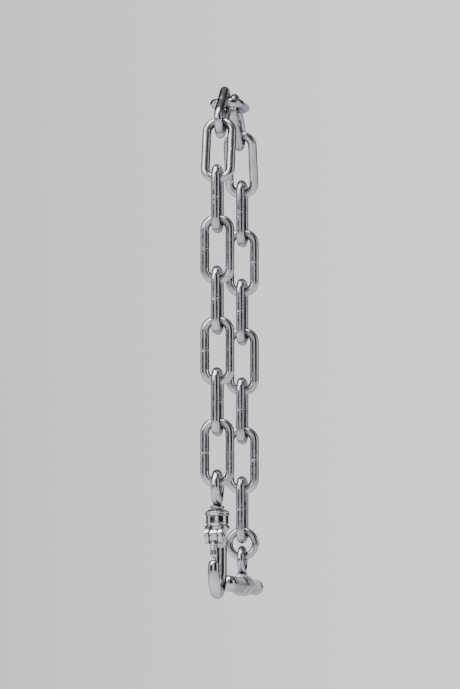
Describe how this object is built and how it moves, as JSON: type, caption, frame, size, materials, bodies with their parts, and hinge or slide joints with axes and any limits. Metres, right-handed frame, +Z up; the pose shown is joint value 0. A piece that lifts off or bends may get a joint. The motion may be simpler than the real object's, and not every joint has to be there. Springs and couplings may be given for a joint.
{
  "type": "pocket watch chain",
  "caption": "Short pocket watch chain of oval links with a swivel clasp and a T-bar, hanging doubled over a round arm.",
  "frame": {"origin": "on the axis of the round arm that the chain hangs over, in the middle of the chain's width", "axes": "+Z up, +X along the arm, -Y towards the front run with the clasp, +Y towards the rear run with the T-bar"},
  "size_m": [0.0046, 0.0385, 0.0694],
  "materials": {
    "link_metal": "bright, handled",
    "polished_metal": "polished",
    "spring_steel": "plain"
  },
  "bodies": {
    "top_link": {"top_link": "link_metal"},
    "front_link_1": {"front_link_1": "link_metal"},
    "front_link_2": {"front_link_2": "link_metal"},
    "front_link_3": {"front_link_3": "link_metal"},
    "front_link_4": {"front_link_4": "link_metal"},
    "front_link_5": {"front_link_5": "link_metal"},
    "front_link_6": {"front_link_6": "link_metal"},
    "front_link_7": {"front_link_7": "link_metal"},
    "front_link_8": {"front_link_8": "link_metal"},
    "rear_link_1": {"rear_link_1": "link_metal"},
    "rear_link_2": {"rear_link_2": "link_metal"},
    "rear_link_3": {"rear_link_3": "link_metal"},
    "rear_link_4": {"rear_link_4": "link_metal"},
    "rear_link_5": {"rear_link_5": "link_metal"},
    "rear_link_6": {"rear_link_6": "link_metal"},
    "rear_link_7": {"rear_link_7": "link_metal"},
    "rear_link_8": {"rear_link_8": "link_metal"},
    "rear_link_9": {"rear_link_9": "link_metal"},
    "t_bar_jump_ring": {"t_bar_jump_ring": "link_metal"},
    "t_bar": {"t_bar_eye": "link_metal", "t_bar": "polished_metal"},
    "clasp_bow": {"clasp_bow": "link_metal"},
    "clasp_hook": {"clasp_cap": "link_metal", "clasp_hook": "polished_metal", "clasp_gate_pin": "link_metal", "clasp_gate_spring": "spring_steel"},
    "clasp_gate": {"clasp_gate": "polished_metal"}
  },
  "joints": [
    {"name": "front_link_1_lift", "type": "hinge", "parent": "top_link", "child": "front_link_1", "pos_m": [0, -0.00403, 0.0103], "axis": [1, 0, 0], "range_deg": [-35, 0]},
    {"name": "front_link_2_side_swing", "type": "hinge", "parent": "front_link_1", "child": "front_link_2", "pos_m": [0, -0.00896, 0.00573], "axis": [0, -0.9623, 0.2719], "range_deg": [-10, 10]},
    {"name": "front_link_3_lift", "type": "hinge", "parent": "front_link_2", "child": "front_link_3", "pos_m": [0, -0.01076, -0.00063], "axis": [1, 0, 0], "range_deg": [-60, 0]},
    {"name": "front_link_4_side_swing", "type": "hinge", "parent": "front_link_3", "child": "front_link_4", "pos_m": [0, -0.01076, -0.00743], "axis": [0, 1, 0], "range_deg": [-40, 40]},
    {"name": "front_link_5_swing", "type": "hinge", "parent": "front_link_4", "child": "front_link_5", "pos_m": [0, -0.01076, -0.01423], "axis": [1, 0, 0], "range_deg": [-60, 6]},
    {"name": "front_link_6_side_swing", "type": "hinge", "parent": "front_link_5", "child": "front_link_6", "pos_m": [0, -0.01076, -0.02103], "axis": [0, 1, 0], "range_deg": [-40, 40]},
    {"name": "front_link_7_swing", "type": "hinge", "parent": "front_link_6", "child": "front_link_7", "pos_m": [0, -0.01076, -0.02783], "axis": [1, 0, 0], "range_deg": [-60, 9]},
    {"name": "front_link_8_side_swing", "type": "hinge", "parent": "front_link_7", "child": "front_link_8", "pos_m": [0, -0.01076, -0.03463], "axis": [0, 1, 0], "range_deg": [-40, 40]},
    {"name": "rear_link_1_lift", "type": "hinge", "parent": "top_link", "child": "rear_link_1", "pos_m": [0, 0.00403, 0.0103], "axis": [1, 0, 0], "range_deg": [0, 35]},
    {"name": "rear_link_2_side_swing", "type": "hinge", "parent": "rear_link_1", "child": "rear_link_2", "pos_m": [0, 0.00896, 0.00573], "axis": [0, 0.9623, 0.2719], "range_deg": [-10, 10]},
    {"name": "rear_link_3_lift", "type": "hinge", "parent": "rear_link_2", "child": "rear_link_3", "pos_m": [0, 0.01076, -0.00063], "axis": [1, 0, 0], "range_deg": [0, 60]},
    {"name": "rear_link_4_side_swing", "type": "hinge", "parent": "rear_link_3", "child": "rear_link_4", "pos_m": [0, 0.01076, -0.00743], "axis": [0, 1, 0], "range_deg": [-40, 40]},
    {"name": "rear_link_5_swing", "type": "hinge", "parent": "rear_link_4", "child": "rear_link_5", "pos_m": [0, 0.01076, -0.01423], "axis": [1, 0, 0], "range_deg": [-6, 60]},
    {"name": "rear_link_6_side_swing", "type": "hinge", "parent": "rear_link_5", "child": "rear_link_6", "pos_m": [0, 0.01076, -0.02103], "axis": [0, 1, 0], "range_deg": [-40, 40]},
    {"name": "rear_link_7_swing", "type": "hinge", "parent": "rear_link_6", "child": "rear_link_7", "pos_m": [0, 0.01076, -0.02783], "axis": [1, 0, 0], "range_deg": [-9, 60]},
    {"name": "rear_link_8_side_swing", "type": "hinge", "parent": "rear_link_7", "child": "rear_link_8", "pos_m": [0, 0.01076, -0.03463], "axis": [0, 1, 0], "range_deg": [-40, 40]},
    {"name": "rear_link_9_swing", "type": "hinge", "parent": "rear_link_8", "child": "rear_link_9", "pos_m": [0, 0.01076, -0.04143], "axis": [1, 0, 0], "range_deg": [-12, 60]},
    {"name": "t_bar_jump_ring_side_swing", "type": "hinge", "parent": "rear_link_9", "child": "t_bar_jump_ring", "pos_m": [0, 0.01076, -0.04823], "axis": [0, 1, 0], "range_deg": [-40, 40]},
    {"name": "t_bar_swing", "type": "hinge", "parent": "t_bar_jump_ring", "child": "t_bar", "pos_m": [0, 0.01076, -0.05067], "axis": [1, 0, 0], "range_deg": [-35, 35]},
    {"name": "clasp_bow_swing", "type": "hinge", "parent": "front_link_8", "child": "clasp_bow", "pos_m": [0, -0.01076, -0.04143], "axis": [1, 0, 0], "range_deg": [-60, 12]},
    {"name": "clasp_swivel", "type": "hinge", "parent": "clasp_bow", "child": "clasp_hook", "pos_m": [0, -0.01076, -0.04497], "axis": [0, 0, 1], "continuous": true},
    {"name": "clasp_gate_hinge", "type": "hinge", "parent": "clasp_hook", "child": "clasp_gate", "pos_m": [0, -0.01336, -0.04857], "axis": [1, 0, 0], "range_deg": [0, 35], "stiffness_Nm_per_rad": 0.0004, "springref_deg": -28.65}
  ]
}
